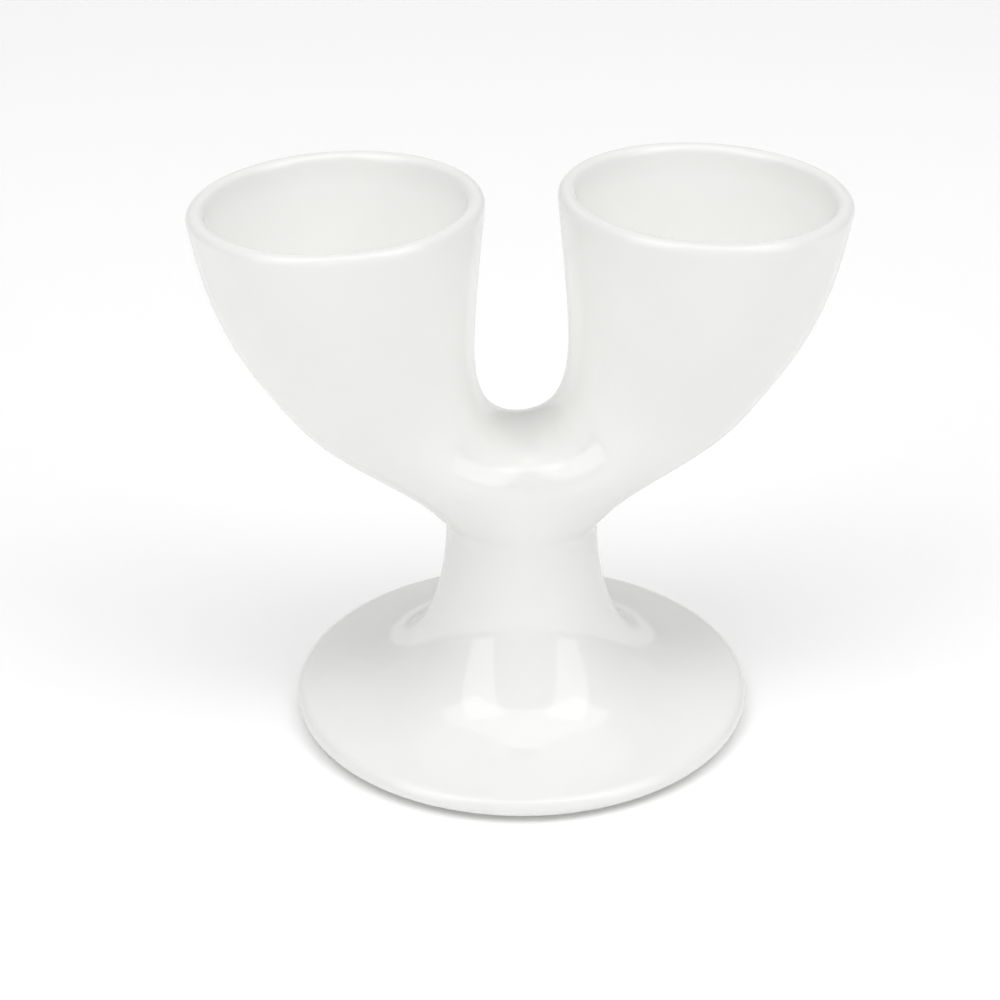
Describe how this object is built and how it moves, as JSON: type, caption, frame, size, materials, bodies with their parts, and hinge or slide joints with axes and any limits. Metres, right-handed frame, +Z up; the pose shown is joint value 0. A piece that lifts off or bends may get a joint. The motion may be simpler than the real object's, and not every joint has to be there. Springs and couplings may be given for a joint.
{
  "type": "double egg cup",
  "caption": "White glazed porcelain egg holder: flared bowls side by side on a Y-shaped yoke that narrows to a hollow stem and spreads into a round foot.",
  "frame": {"origin": "centre of the foot's standing ring, on the table, on the stem's axis", "axes": "+X from the left bowl to the right bowl, +Y to the back, +Z up along the stem"},
  "size_m": [0.1174, 0.0862, 0.104],
  "materials": {
    "glaze": "gloss white glaze",
    "bisque": "bare fired porcelain, fine matt"
  },
  "bodies": {
    "root": {"left_cup": "glaze", "right_cup": "glaze", "yoke": "glaze", "stem": "glaze", "foot": "glaze", "foot_ring": "bisque"}
  },
  "joints": []
}
